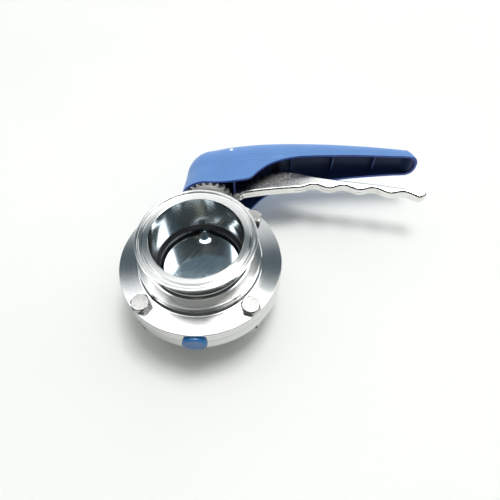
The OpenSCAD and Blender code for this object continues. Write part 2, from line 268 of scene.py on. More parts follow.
def cast_metal():
    """Bright cast metal, pitted where it was not buffed, with the die's parting line. Towards the hub the
    pits are painted dark, partly real pitting and partly painted shade under the grip.
    """
    s = Shade("cast_metal", (0.8, 0.8, 0.785), Metallic=1.0, Roughness=0.3)
    x, y, z = s.node("ShaderNodeSeparateXYZ", Vector=s.place).outputs
    off_middle = s.math("ABSOLUTE", s.math("SUBTRACT", z, MID * MM))
    # painted shade: the unbuffed faces darken towards the hub, where the grip overhangs the trigger
    near_hub = s.spread(x, 1.0, 0.0, 0.07, 0.11)
    unbuffed_and_shaded = s.math("MULTIPLY", near_hub, s.spread(off_middle, 0, 1, 0.0034, 0.0045))
    pits = s.noise(850, 5.0, Roughness=0.75)
    waves = s.noise(110, 3.0)
    stain = s.mix(s.spread(waves, 0, 1, 0.35, 0.65), (0.77, 0.77, 0.745), (0.84, 0.84, 0.83))
    dashes = s.spread(s.noise(60, 2.0), 0.0, 1.0, 0.52, 0.58)
    line = s.math("MULTIPLY", s.spread(off_middle, 1.0, 0.0, 0.0001, 0.00035), dashes)
    # pits painted near black: partly real pitting, partly painted shade under the grip
    dark = s.math("MULTIPLY", unbuffed_and_shaded, s.spread(pits, 1.0, 0.35, 0.4, 0.6))
    s.drive("Base Color", s.mix(s.math("MAXIMUM", dark, line), stain, (0.1, 0.1, 0.105)))
    s.drive("Roughness", s.math("ADD", s.spread(pits, 0.05, 0.09), s.math("MULTIPLY", unbuffed_and_shaded, 0.22)))
    s.bump(s.math("MULTIPLY", pits, unbuffed_and_shaded), 0.85, 0.24)
    s.bump(waves, 0.12, 0.1)
    s.bump(s.spread(off_middle, 1.0, 0.0, 0.0001, 0.0005), 0.6, 0.1)
    return s.material


def plastic(name, dark, light, roughness, grain_height, ior=1.5):
    """Moulded plastic with a fine grain."""
    s = Shade(name, light, Roughness=roughness, IOR=ior)
    grain = s.noise(2200, 2.0)
    broad = s.noise(35, 3.0)
    s.drive("Base Color", s.mix(s.spread(broad, 0, 1, 0.35, 0.65), dark, light))
    s.drive("Roughness", s.spread(grain, roughness - 0.06, roughness + 0.08))
    s.bump(grain, 0.3, grain_height)
    return s.material


def rubber():
    s = Shade("black_rubber", (0.012, 0.012, 0.013), Roughness=0.32, IOR=1.52)
    fine = s.noise(1800, 3.0)
    dust = s.noise(90, 5.0)
    s.drive("Base Color", s.mix(s.spread(dust, 0, 1, 0.4, 0.8), (0.009, 0.009, 0.01), (0.03, 0.03, 0.031)))
    s.drive("Roughness", s.spread(fine, 0.26, 0.4))
    s.bump(fine, 0.15, 0.02)
    return s.material


def floor_paint():
    s = Shade("floor", (0.88, 0.9, 0.885), Roughness=0.6)
    s.shader.inputs["Specular IOR Level"].default_value = 0.2
    fine = s.noise(700, 3.0)
    broad = s.noise(4, 2.0)
    s.drive("Base Color", s.mix(s.spread(broad, 0, 1), (0.87, 0.89, 0.875), (0.9, 0.915, 0.9)))
    s.bump(fine, 0.05, 0.05)
    return s.material


MATERIALS = {
    "turned_steel": turned_steel(),
    "polished_steel": polished_steel(),
    "plate_steel": metal("plate_steel", (0.92, 0.92, 0.91), 0.35, 0.45, 1300, 0.08, 0.5),
    "fastener_steel": metal("fastener_steel", (0.46, 0.455, 0.445), 0.18, 0.26, 900, 0.05),
    "fastener_mark": metal("fastener_mark", (0.36, 0.35, 0.34), 0.35, 0.45, 900, 0.05),
    "spring_steel": metal("spring_steel", (0.035, 0.035, 0.04), 0.4, 0.5, 900, 0.1),
    "cast_metal": cast_metal(),
    "black_rubber": rubber(),
    "white_bush": plastic("white_bush", (0.74, 0.74, 0.72), (0.82, 0.82, 0.8), 0.4, 0.02),
    "grip_plastic": plastic("grip_plastic", (0.075, 0.205, 0.5), (0.085, 0.225, 0.54), 0.38, 0.03),
    # painted shade: the inner skin is the grip's own plastic painted far darker, for the shade inside the
    # channel
    "shaded_grip_inside": plastic("shaded_grip_inside", (0.008, 0.024, 0.09), (0.011, 0.033, 0.12), 0.5, 0.03),
    # painted shade: the ribs and socket inside the grip are its own plastic painted darker, for the shade
    # in the channel
    "shaded_grip_rib": plastic("shaded_grip_rib", (0.01, 0.035, 0.15), (0.013, 0.045, 0.18), 0.5, 0.03),
    # painted shade: the wall's open rim is the grip's plastic painted darker and deeper blue, for the shade
    # along its edge
    "shaded_grip_rim": plastic("shaded_grip_rim", (0.014, 0.062, 0.35), (0.018, 0.072, 0.39), 0.35, 0.02),
    # painted highlight: a lighter blue strip along the crease, standing for the light caught by the small
    # step there
    "grip_crease_highlight": plastic("grip_crease_highlight", (0.2, 0.36, 0.68), (0.24, 0.4, 0.72), 0.38, 0.02),
    "plug_plastic": plastic("plug_plastic", (0.02, 0.135, 0.37), (0.026, 0.155, 0.41), 0.2, 0.02, 1.33),
    "pin_steel": metal("pin_steel", (0.92, 0.92, 0.91), 0.45, 0.55, 900, 0.1),
}


# ---- Mesh helpers: all in millimetres ----
def fillet(points, segments=5):
    """Closed outline with round corners. A point is (a, b), or (a, b, corner radius)."""
    out = []
    count = len(points)
    for i, point in enumerate(points):
        here = Vector(point[:2])
        radius = point[2] if len(point) > 2 else 0.0
        if not radius:
            out.append(here)
            continue
        before = (Vector(points[i - 1][:2]) - here).normalized()
        after = (Vector(points[(i + 1) % count][:2]) - here).normalized()
        half = before.angle(after) / 2
        reach = radius / math.tan(half)
        centre = here + (before + after).normalized() * (radius / math.sin(half))
        start, end = here + before * reach - centre, here + after * reach - centre
        turn = start.angle_signed(end)
        for k in range(segments + 1):
            a = -turn * k / segments
            out.append(centre + Vector((start.x * math.cos(a) - start.y * math.sin(a),
                                        start.x * math.sin(a) + start.y * math.cos(a))))
    return out


def lathe(outline, segments=128, offset=0.0):
    """Closed surface swept by an outline of (radius, height) about Z."""
    verts, faces, rows = [], [], []
    for r, h in outline:
        if r < 1e-6:
            rows.append([len(verts)] * segments)
            verts.append((0.0, 0.0, h))
        else:
            rows.append(list(range(len(verts), len(verts) + segments)))
            for k in range(segments):
                a = 2 * math.pi * (k + offset) / segments
                verts.append((r * math.cos(a), r * math.sin(a), h))
    for i, row in enumerate(rows):
        following = rows[(i + 1) % len(rows)]
        for k in range(segments):
            n = (k + 1) % segments
            corner = [row[k], row[n], following[n], following[k]]
            face = [v for j, v in enumerate(corner) if v not in corner[:j]]
            if len(face) > 2:
                faces.append(face)
    return verts, faces


def bar(radius, low, high, segments):
    """Plain round bar along Z."""
    return lathe([(0, low), (radius, low), (radius, high), (0, high)], segments)


def prism(outline, low, high):
    """Solid between two heights over a closed outline."""
    count = len(outline)
    verts = [(p[0], p[1], h) for h in (low, high) for p in outline]
    faces = [list(range(count))[::-1], [count + i for i in range(count)]]
    faces += [[i, (i + 1) % count, count + (i + 1) % count, count + i] for i in range(count)]
    return verts, faces


def brick(low, high):
    outline = [(low[0], low[1]), (high[0], low[1]), (high[0], high[1]), (low[0], high[1])]
    return prism(outline, low[2], high[2])


def moved(shape, matrix):
    return [tuple(matrix @ Vector(v)) for v in shape[0]], shape[1]


def joined(*shapes):
    verts, faces = [], []
    for shape in shapes:
        faces += [[i + len(verts) for i in face] for face in shape[1]]
        verts += list(shape[0])
    return verts, faces


def shift(x=0.0, y=0.0, z=0.0):
    return Matrix.Translation((x, y, z))


def spin(degrees, axis="Z"):
    return Matrix.Rotation(math.radians(degrees), 4, axis)


STEM = shift(z=MID) @ spin(-90, "X")      # local Z along the stem, from the flow axis towards the handle


def bolt_place(i):
    return spin(45 + 90 * i) @ shift(x=BOLT_CIRCLE_R)


def build(name, shape, slots=(), kinds=()):
    """Mesh object of a shape, faces turned outwards. kinds numbers each face's slot."""
    mesh = bpy.data.meshes.new(name)
    mesh.from_pydata([tuple(c * MM for c in v) for v in shape[0]], [], shape[1])
    for slot in slots:
        mesh.materials.append(MATERIALS[slot])
    if kinds:
        mesh.polygons.foreach_set("material_index", kinds)
    work = bmesh.new()
    work.from_mesh(mesh)
    bmesh.ops.remove_doubles(work, verts=work.verts, dist=0.002 * MM)
    bmesh.ops.recalc_face_normals(work, faces=work.faces)
    work.to_mesh(mesh)
    work.free()
    obj = bpy.data.objects.new(name, mesh)
    scene.collection.objects.link(obj)
    return obj


def apply_modifiers(obj):
    evaluated = obj.evaluated_get(bpy.context.evaluated_depsgraph_get())
    mesh = bpy.data.meshes.new_from_object(evaluated)
    obj.modifiers.clear()
    obj.data = mesh


def cut(obj, operation, *shapes):
    """Exact boolean of obj with each shape in turn."""
    for shape in shapes:
        tool = build("cutter", shape)
        modifier = obj.modifiers.new("cut", "BOOLEAN")
        modifier.operation = operation
        modifier.solver = "EXACT"
        modifier.object = tool
        apply_modifiers(obj)
        bpy.data.objects.remove(tool)


def bevel(obj, width, segments=3, angle=40, clamp=True):
    modifier = obj.modifiers.new("bevel", "BEVEL")
    modifier.use_clamp_overlap = clamp
    modifier.width = width * MM
    modifier.segments = segments
    modifier.limit_method = "ANGLE"
    modifier.angle_limit = math.radians(angle)
    modifier.harden_normals = False
    apply_modifiers(obj)


def piece(obj, body, slot, *nodes, sharp=35):
    """Finishes a piece: shading, material, and what it rides on and stands for."""
    mesh = obj.data
    mesh.polygons.foreach_set("use_smooth", [True] * len(mesh.polygons))
    mesh.set_sharp_from_angle(angle=math.radians(sharp))
    modifier = obj.modifiers.new("even normals", "WEIGHTED_NORMAL")
    modifier.keep_sharp = True
    apply_modifiers(obj)
    mesh = obj.data
    if len(mesh.materials) < 2:
        mesh.materials.clear()
        mesh.materials.append(MATERIALS[slot])
    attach(obj, body)
    if nodes:
        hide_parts(*nodes)
    return obj


# ---- Valve body ----
def half_outline():
    """Half section of a body half, as radius and height from the split."""
    top = TOP - MID
    rim_low = top - RIM_H
    neck_high = rim_low - (FERRULE_R - NECK_R) * math.tan(FERRULE_SLOPE)
    return fillet([
        (SEAT_RIB_R, 0), (FLANGE_R, 0, 0.35), (FLANGE_R, FOOT, 0.7), (BOSS_R, FOOT, 1.5),
        (BOSS_R, CREST, 0.7), (NECK_R, CREST, 4.0), (NECK_R, neck_high, 1.2),
        (FERRULE_R, rim_low, 0.4), (FERRULE_R, top, 0.5), (GROOVE_R + GROOVE_HALF, top, 0.3),
        (GROOVE_R + GROOVE_HALF - 0.8, top - GROOVE_DEPTH, 0.6),
        (GROOVE_R - GROOVE_HALF + 0.8, top - GROOVE_DEPTH, 0.6),
        (GROOVE_R - GROOVE_HALF, top, 0.3), (BORE_R, top, 0.35), (BORE_R, SEAT_HALF, 0.1),
        (SEAT_BACK_R, SEAT_HALF), (SEAT_BACK_R, SEAT_RIB_HALF), (SEAT_RIB_R, SEAT_RIB_HALF),
    ])


def body_half(name, node, side):
    """side is 1 for the half above the split and -1 for the half below it."""
    outline = half_outline()
    obj = build(name, lathe([(r, MID + side * h) for r, h in outline], 256, 0.5))
    far = 100
    plate_end = PLATE_Y + PLATE_T
    collar = joined(
        lathe(fillet([(0, FLANGE_R - 6), (COLLAR_R, FLANGE_R - 6), (COLLAR_R, PLATE_Y, 0.3),
                      (0, PLATE_Y)]), 96),
        bar(11.8, PLATE_Y - 1, plate_end + 1, 96),
        lathe(fillet([(0, plate_end), (COLLAR_R, plate_end, 0.3), (COLLAR_R, COLLAR_END, 0.6),
                      (0, COLLAR_END)]), 96))
    collar_obj = build("collar", moved(collar, STEM))
    level = MID if side > 0 else MID - 30
    cut(collar_obj, "INTERSECT", brick((-30, 30, level), (30, far, level + 30)))
    modifier = obj.modifiers.new("collar", "BOOLEAN")
    modifier.operation, modifier.solver, modifier.object = "UNION", "EXACT", collar_obj
    modifier.use_self = True
    apply_modifiers(obj)
    bpy.data.objects.remove(collar_obj)
    stem_hole = lathe([(0, -80), (BUSH_R, -80), (BUSH_R, -50), (STEM_HOLE_R, -50),
                       (STEM_HOLE_R, 60), (BUSH_R, 60), (BUSH_R, far), (0, far)], 96)
    cut(obj, "DIFFERENCE", moved(stem_hole, STEM))
    bolt_hole = bar(BOLT_R + 0.3, 0, far, 48)
    cut(obj, "DIFFERENCE", joined(*[moved(bolt_hole, bolt_place(i)) for i in range(4)]))
    piece(obj, "body", "turned_steel", node, sharp=30)


body_half("body_top_half", "upper_body", 1)
body_half("body_bottom_half", "lower_body", -1)

seat_outline = fillet([
    (SEAT_R, -SEAT_LAND, 0.8), (SEAT_R, SEAT_LAND, 0.8), (BORE_R, SEAT_HALF, 0.3),
    (SEAT_BACK_R, SEAT_HALF), (SEAT_BACK_R, SEAT_RIB_HALF), (SEAT_RIB_R, SEAT_RIB_HALF),
    (SEAT_RIB_R, -SEAT_RIB_HALF), (SEAT_BACK_R, -SEAT_RIB_HALF), (SEAT_BACK_R, -SEAT_HALF),
    (BORE_R, -SEAT_HALF, 0.3)])
seat = build("seat_liner", moved(lathe(seat_outline, 256), shift(z=MID)))
cut(seat, "DIFFERENCE", moved(bar(STEM_HOLE_R, -60, 60, 64), STEM))
piece(seat, "body", "black_rubber", "seat_ring", sharp=30)

for name, node, y0, y1 in (("stem_bush_upper", "upper_bush", 60, COLLAR_END),
                           ("stem_bush_lower", "lower_bush", -58, -50)):
    bush = lathe(fillet([(STEM_HOLE_R, y0, 0.3), (BUSH_R, y0, 0.3), (BUSH_R, y1, 0.5),
                         (STEM_HOLE_R, y1, 0.5)]), 64)
    piece(build(name, moved(bush, STEM)), "body", "white_bush", node)
for node in ("upper_stem_seal", "lower_stem_seal"):
    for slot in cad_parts[node].material_slots:
        slot.material = MATERIALS["black_rubber"]

# ---- Plug over the lower end of the stem, slightly domed ----
PLUG_R, PLUG_SHANK_R, PLUG_SEAT = plug_high.x, 8.6, FLANGE_R - 0.8
plug_face = -plug_low.y
plug = lathe(fillet([
    (0, -plug_high.y), (PLUG_SHANK_R, -plug_high.y, 0.4), (PLUG_SHANK_R, PLUG_SEAT), (PLUG_R, PLUG_SEAT),
    (PLUG_R, plug_face, 1.1), (PLUG_R - 2.6, plug_face), (0, plug_face - 0.25)], 6), 96)
piece(build("stem_plug", moved(plug, STEM @ spin(180, "X"))), "body", "plug_plastic", "end_plug")


# ---- Disc and stem ----
def boss_height(d):
    """Height of a stem boss above the disc, by distance from its crest: cap, slope, foot."""
    foot, slope_end, cap, slope, bend = 12.6, 6.34, 1.5, 0.55, 13.0
    if d >= foot:
        return 0.0
    if d > slope_end:
        return bend - math.sqrt(bend ** 2 - (foot - d) ** 2)
    low = bend - math.sqrt(bend ** 2 - (foot - slope_end) ** 2)
    if d > cap:
        return low + slope * (slope_end - d)
    return low + slope * (slope_end - cap) + slope * cap / 2 * (1 - (d / cap) ** 2)


def stem_boss(side):
    """Boss on one face of the disc, where the stem runs into it: narrow, and highest at the seat."""
    steps, half_width, start, crest = 72, 12.0, 18.0, 32.0
    reach = DISC_R + 0.05
    verts = []
    for i in range(steps + 1):
        x = half_width * (2 * i / steps - 1)
        end = math.sqrt(reach ** 2 - x ** 2)
        for k in range(steps + 1):
            y = start + (end - start) * k / steps
            over = max(0.0, math.hypot(x, y) - DISC_R + DISC_EDGE) / DISC_EDGE
            face = DISC_T / 2 * math.sqrt(max(0.0, 1 - over ** 2))
            h = face + boss_height(math.hypot(x / 0.9, max(0.0, crest - y))) - 0.004
            verts.append((x, y, MID + side * max(h, 0.3)))
    row = steps + 1
    count = row * row
    verts += [(x, y, MID + side * 0.1) for x, y, z in verts]
    faces = []
    for i in range(steps):
        for k in range(steps):
            quad = [i * row + k, i * row + k + 1, (i + 1) * row + k + 1, (i + 1) * row + k]
            faces += [quad, [count + v for v in quad[::-1]]]
    border = ([(0, k) for k in range(steps)] + [(i, steps) for i in range(steps)]
              + [(steps, steps - k) for k in range(steps)] + [(steps - i, 0) for i in range(steps)])
    ring_of = [i * row + k for i, k in border]
    for j, v in enumerate(ring_of):
        following = ring_of[(j + 1) % len(ring_of)]
        faces.append([v, following, count + following, count + v])
    return verts, faces


def stem_end(end):
    return lathe([(0, DISC_R), (STEM_R, DISC_R + 0.1), (STEM_R, end - 0.5), (STEM_R - 0.5, end),
                  (0, end)], 128, 0.25)


edge_steps = 10
rim = [(DISC_R - DISC_EDGE + DISC_EDGE * math.cos(a), DISC_T / 2 * math.sin(a)) for a in
       [math.pi / 2 - math.pi * k / (2 * edge_steps) for k in range(2 * edge_steps + 1)]]
disc_outline = [(0, DISC_T / 2)] + rim + [(0, -DISC_T / 2)]
disc = build("valve_disc", moved(lathe(disc_outline, 256, 0.5), shift(z=MID)))
DOWN_STEM = STEM @ spin(180, "X")
SQUARE_START, SQUARE_END = 80.9, disc_high.y
for turn in (0, 180):
    cut(disc, "UNION", moved(stem_boss(1), spin(turn)), moved(stem_boss(-1), spin(turn)))
core = bar(2.5, 0, DISC_R + 1, 32)
square = brick((-SQUARE / 2, -SQUARE / 2, SQUARE_START - 1), (SQUARE / 2, SQUARE / 2, SQUARE_END))
cut(disc, "UNION", moved(core, STEM), moved(core, DOWN_STEM),
    moved(stem_end(SQUARE_START), STEM), moved(stem_end(58), DOWN_STEM), moved(square, STEM))
cut(disc, "DIFFERENCE", moved(bar(BOLT_R + 0.05, SQUARE_END - 20, SQUARE_END + 5, 48), STEM))
piece(disc, "handle", "polished_steel", "disc", sharp=30)


# ---- Index plate ----
def plate_outline():
    teeth, root_r, tip_r = 20, 17.7, 21.5
    root_half, tip_half = 1.55, 0.85
    tooth = ((root_r, -root_half, 0.5), (tip_r, -tip_half, 0.45), (tip_r, tip_half, 0.45),
             (root_r, root_half, 0.5))
    out = []
    for i in range(teeth):
        a = 2 * math.pi * (i + 0.5) / teeth
        for radius, half, corner in tooth:
            x = radius * math.cos(a) - half * math.sin(a)
            y = radius * math.sin(a) + half * math.cos(a)
            out.append((x, y, corner))
    return fillet(out, 4)


plate = build("index_plate_toothed", moved(prism(plate_outline(), PLATE_Y, PLATE_Y + PLATE_T), STEM))
cut(plate, "DIFFERENCE", moved(bar(12.4, 60, 90, 64), STEM))
bevel(plate, 0.3, 2, 50)
piece(plate, "body", "plate_steel", "index_plate")


# ---- Fasteners ----
def hexagon(z0, z1, both):
    """Hexagonal head whose corners are turned off at the top, or at both ends."""
    steps = 96
    apothem = BOLT_AF / 2
    turned_r = apothem - 0.35
    fall = math.tan(math.radians(28))
    rows = []
    for height, which in ((z0, -1), (z0, 0), (z1, 0), (z1, 1)):
        row = []
        for k in range(steps):
            a = 2 * math.pi * k / steps
            corner_r = apothem / math.cos((a + math.pi / 6) % (math.pi / 3) - math.pi / 6)
            drop = (corner_r - turned_r) * fall
            if which == 0:
                h = z1 - drop if height == z1 else (z0 + drop if both else z0)
                r = corner_r
            else:
                h, r = height, turned_r
            row.append((r * math.cos(a), r * math.sin(a), h))
        rows.append(row)
    verts = [v for row in rows for v in row]
    faces = []
    for i in range(3):
        for k in range(steps):
            n = (k + 1) % steps
            faces.append([i * steps + k, i * steps + n, (i + 1) * steps + n, (i + 1) * steps + k])
    faces.append(list(range(steps))[::-1])
    faces.append([3 * steps + k for k in range(steps)])
    return verts, faces


def thread(z0, z1, radius, pitch=1.25):
    """Threaded bar: a helical ridge that fades out at both ends."""
    steps, sections = 40, 10
    rows = int((z1 - z0) / pitch * sections)
    verts, faces = [], []
    for i in range(rows + 1):
        z = z0 + (z1 - z0) * i / rows
        fade = min(1.0, (z - z0) / pitch, (z1 - z) / pitch)
        for k in range(steps):
            a = 2 * math.pi * k / steps
            phase = ((z / pitch) - k / steps) % 1.0
            r = radius - 0.62 * (1 - abs(2 * phase - 1)) * fade - 0.5 * (1 - min(1.0, (z - z0) / 0.6))
            verts.append((r * math.cos(a), r * math.sin(a), z))
    for i in range(rows):
        for k in range(steps):
            n = (k + 1) % steps
            faces.append([i * steps + k, i * steps + n, (i + 1) * steps + n, (i + 1) * steps + k])
    faces.append(list(range(steps))[::-1])
    faces.append([rows * steps + k for k in range(steps)])
    return verts, faces


for i in range(4):
    number = i + 1
    node = f"flange_bolt_{number}"
    low, high = box_mm(node)
    head_top = high.z
    head_low = head_top - HEAD_H
    place = bolt_place(i)
    mid_thread = MID - FOOT
    # plain radial ticks
    tick = brick((3.4, -0.3, head_top - 0.2), (4.9, 0.3, head_top - 0.02))
    ticks = joined(*[moved(tick, spin(60 * k + 15)) for k in range(6)])
    hexagonal = hexagon(head_low, head_top - 0.12, False)
    kinds = [0] * len(hexagonal[1]) + [1] * len(ticks[1])
    head = build(node, moved(joined(hexagonal, ticks), place @ spin(20 * i)),
                 ("fastener_steel", "fastener_mark"), kinds)
    shank = build("shank", moved(joined(
        bar(BOLT_R, mid_thread, head_low + 0.1, 40),
        thread(low.z, mid_thread + 0.1, BOLT_R - 0.02)), place), ("fastener_steel",))
    bpy.context.view_layer.objects.active = head
    both = [head, shank]
    with bpy.context.temp_override(active_object=head, selected_editable_objects=both,
                                   selected_objects=both):
        bpy.ops.object.join()
    head.name = f"hex_bolt_{number}"
    piece(head, "body", "fastener_steel", node, sharp=28)

    node = f"flange_nut_{number}"
    low, high = box_mm(node)
    nut = build(f"hex_nut_{number}", moved(hexagon(low.z, high.z, True), place @ spin(10 + 25 * i)))
    cut(nut, "DIFFERENCE", moved(lathe(
        [(0, low.z - 1), (BOLT_R + 0.6, low.z - 1), (BOLT_R + 0.6, low.z), (BOLT_R + 0.05, low.z + 0.5),
         (BOLT_R + 0.05, high.z + 1), (0, high.z + 1)], 40), place))
    piece(nut, "body", "fastener_steel", node, sharp=28)

    node = f"spring_washer_{number}"
    low, high = box_mm(node)
    ring = lathe(fillet([(BOLT_R + 0.15, low.z, 0.2), (6.9, low.z, 0.2), (6.9, high.z, 0.2),
                         (BOLT_R + 0.15, high.z, 0.2)], 3), 64)
    washer = build(f"split_washer_{number}", moved(ring, place))
    cut(washer, "DIFFERENCE", moved(brick((0, -0.6, low.z - 1), (10, 0.6, high.z + 1)), place @ spin(35)))
    piece(washer, "body", "fastener_steel", node)


# ---- Grip ----
GRIP_LENGTH = 197.5
NOSE = 10.0                            # length of the grip's rounded tip
WALL = 2.3
RIB_T, RIB_INSET, RIB_LOW_Y = 1.6, 1.2, 123.0
HUB_LEAN = 0.24                        # slope of the hub's top along the grip
HUB_RIB_X, HUB_RIB_Z = 23.2, 6.65      # the hub's ribs, from the stem and from the middle
SOCKET_R = 8.2
PIN_X, PIN_Y = 20.0, 115.0
WASHER_Y = 108.0
# stations of the grip: x, half width, height of the crease, height of the top, squareness of the crown
STATIONS = [
    (0, 22.1, 93.0, 123.0, 0.74), (20, 23.8, 97.0, 126.3, 0.71), (50, 22.5, 103.5, 130.8, 0.667),
    (80, 20.6, 108.5, 133.2, 0.667), (113, 18.0, 113.0, 134.2, 0.667), (145, 15.5, 116.0, 133.6, 0.667),
    (172, 13.6, 117.5, 131.8, 0.667), (182, 13.1, 117.5, 130.8, 0.667), (190, 12.5, 117.5, 130.0, 0.667),
]


def smooth_between(table, x):
    """Row of a table at x, on a monotone cubic through its points."""
    if x <= table[0][0]:
        return table[0][1:]
    if x >= table[-1][0]:
        return table[-1][1:]
    i = max(k for k in range(len(table) - 1) if table[k][0] <= x)
    span = table[i + 1][0] - table[i][0]
    t = (x - table[i][0]) / span
    out = []
    for column in range(1, len(table[0])):
        def slope(k):
            if k <= 0:
                return HUB_LEAN if column == 3 else 0.0
            left = (table[k][column] - table[k - 1][column]) / (table[k][0] - table[k - 1][0])
            if k >= len(table) - 1:
                return left
            after = (table[k + 1][column] - table[k][column]) / (table[k + 1][0] - table[k][0])
            if left * after <= 0:
                return 0.0
            return 2 * left * after / (left + after)
        a, b = table[i][column], table[i + 1][column]
        ma, mb = slope(i) * span, slope(i + 1) * span
        out.append((2 * t ** 3 - 3 * t ** 2 + 1) * a + (t ** 3 - 2 * t ** 2 + t) * ma
                   + (3 * t ** 2 - 2 * t ** 3) * b + (t ** 3 - t ** 2) * mb)
    return out


def bezier(a, b, c, d, steps):
    out = []
    for k in range(steps + 1):
        t = k / steps
        s = 1 - t
        out.append(tuple(s ** 3 * a[j] + 3 * s * s * t * b[j] + 3 * s * t * t * c[j] + t ** 3 * d[j]
                         for j in range(2)))
    return out


EDGE_CURVE = ([(-40, 70.4), (-20, 71.1), (0, 71.8), (14, 72.0), (20, 72.8), (36, 77.5)]
              + bezier((39.5, 79.8), (56, 105), (80, 112), (150, 115.4), 24) + [(210, 118)])


def edge_y(x):
    """Height of the grip's open edge at x."""
    for (x0, y0), (x1, y1) in zip(EDGE_CURVE, EDGE_CURVE[1:]):
        if x <= x1:
            return y0 + (y1 - y0) * (x - x0) / (x1 - x0)
    return EDGE_CURVE[-1][1]


CROWN_STEPS, WALL_STEPS = 26, 12
CREASE_HIGHLIGHT_END = 70


def half_section(x, inset, tip=1.0, rise=1.0):
    """Half of the grip's section at x >= 0, from top to open edge: (across, height, crown share)."""
    width, crease, top, power = smooth_between(STATIONS, x)
    width, top = width - inset, top - inset
    width, top = width * tip, crease + (top - crease) * rise
    flare = 0.135 * max(0.0, 1 - x / 45) ** 2.2
    out = []
    for k in range(CROWN_STEPS + 1):
        a = math.pi / 2 * (1 - k / CROWN_STEPS)
        s, c = math.sin(a) ** power, math.cos(a) ** power
        out.append((width * c, crease + (top - crease) * s, s))
    low = min(edge_y(x), crease - 0.8)
    ridge = 0.2 * max(0.0, min(1.0, (75 - x) / 20)) * (1 if inset == 0 else 0)
    for down, out_by in ((0.15, ridge), (0.45, ridge), (0.6, 0.0)):
        out.append((width + flare * down + out_by, crease - down, 0.0))
    for k in range(1, WALL_STEPS + 1):
        y = crease - 0.6 + (low - crease + 0.6) * k / WALL_STEPS
        out.append((width + flare * (crease - y), y, 0.0))
    return out


def hub_columns(inset):
    """Columns of points round the hub, each from the top down to the open edge."""
    columns = []
    fan = 40
    hub = half_section(0, inset)
    for j in range(fan + 1):
        a = math.pi / 2 + math.pi * j / fan
        column = []
        for across, y, share in hub:
            x = across * math.cos(a)
            if share == 0.0:
                low = min(edge_y(x), 93)
                t = (93 - y) / (93 - hub[-1][1])
                y = 93 + (low - 93) * t
            column.append((x, y + HUB_LEAN * x * share, MID + across * math.sin(a)))
        columns.append(column)
    return columns


def grip_surface(inset):
    """Verts and faces of one skin of the grip, and the vertices of its open edge in order."""
    verts, faces = [], []
    fan = hub_columns(inset)
    last_x = GRIP_LENGTH - inset - NOSE
    xs = [last_x * k / 128 for k in range(1, 128)]
    nose = [math.sin(math.radians(7.5 * k)) for k in range(1, 13)]
    sides = {1: [fan[0]], -1: [fan[-1]]}
    for side in (1, -1):
        for x in xs + [last_x]:
            section = half_section(x, inset)
            sides[side].append([(x, y, MID + side * across) for across, y, share in section])
        for t in nose:
            tip, rise = max(0.0, 1 - t * t) ** 0.4, max(0.12, 1 - 1.35 * t ** 1.1)
            section = half_section(last_x, inset, tip, rise)
            x = last_x + NOSE * t
            sides[side].append([(x, y, MID + side * across) for across, y, share in section])
    rows = sides[1][::-1] + fan[1:-1] + sides[-1]
    for row in rows:
        verts += row
    length = len(rows[0])
    for i in range(len(rows) - 1):
        for k in range(length - 1):
            a, b = i * length + k, (i + 1) * length + k
            faces.append([a, a + 1, b + 1, b])
    edge = [i * length + length - 1 for i in range(len(rows))]
    return verts, faces, edge


def grip_shell():
    """The grip's shape, and each face's material: 0 outside, 1 inside with painted shade, 2 rim with
    painted shade, 3 crease line with a painted highlight.
    """
    outer, outer_faces, outer_edge = grip_surface(0.0)
    inner, inner_faces, inner_edge = grip_surface(WALL)
    verts = outer + inner
    base = len(outer)
    faces = outer_faces + [[base + i for i in face[::-1]] for face in inner_faces]
    row = CROWN_STEPS + 3 + WALL_STEPS
    kinds = []
    for i, face in enumerate(outer_faces):
        # faces along the crease carry the painted highlight
        on_crease = i % row == CROWN_STEPS + 1 and outer[face[0]][0] < CREASE_HIGHLIGHT_END
        kinds.append(3 if on_crease else 0)
    # inner faces take the plastic with painted shade
    kinds += [1] * len(inner_faces)
    for k in range(len(outer_edge) - 1):
        faces.append([outer_edge[k], outer_edge[k + 1], base + inner_edge[k + 1], base + inner_edge[k]])
        kinds.append(2)
    return (verts, faces), kinds


def section_plate(x, thickness, low_y, inset):
    """Rib across the grip at x, reaching into its walls, down to low_y."""
    section = half_section(x, inset)
    side = [(across, y) for across, y, share in section if y >= low_y]
    side.append((side[-1][0], low_y))
    outline = side + [(-a, y) for a, y in side[::-1] if a > 0.01]
    flat = prism(outline, 0, thickness)
    # local X is across the grip, local Y is up and local Z is along it
    return [(x + h, y, MID + a) for a, y, h in flat[0]], flat[1]


grip_shape, grip_kinds = grip_shell()
grip = build("lever_grip", grip_shape, ("grip_plastic", "shaded_grip_inside", "shaded_grip_rim", "grip_crease_highlight"), grip_kinds)
cut(grip, "DIFFERENCE", moved(bar(SOCKET_R, WASHER_Y, 150, 64), STEM))
ribs = [section_plate(x, RIB_T, RIB_LOW_Y, RIB_INSET) for x in (77, 117, 157)]
for side in (1, -1):
    section = half_section(HUB_RIB_X, RIB_INSET)
    outline = [(a, y) for a, y, share in section if a > HUB_RIB_Z]
    outline = [(HUB_RIB_Z, outline[0][1])] + outline + [(HUB_RIB_Z, outline[-1][1])]
    flat = prism(outline, 0, RIB_T)
    ribs.append(([(HUB_RIB_X + h, y, MID + side * a) for a, y, h in flat[0]], flat[1]))
socket = lathe(fillet([(SOCKET_R, 84, 0.4), (12, 84, 0.4), (12, 118.5), (SOCKET_R, 118.5)], 3), 64)
rib_obj = build("grip_ribs_and_socket", joined(*ribs, moved(socket, STEM)))
piece(grip, "handle", "grip_plastic", "handle_grip", sharp=50)
piece(rib_obj, "handle", "grip_plastic", sharp=30)
# the ribs and socket take the plastic with painted shade
rib_obj.data.materials[0] = MATERIALS["shaded_grip_rib"]


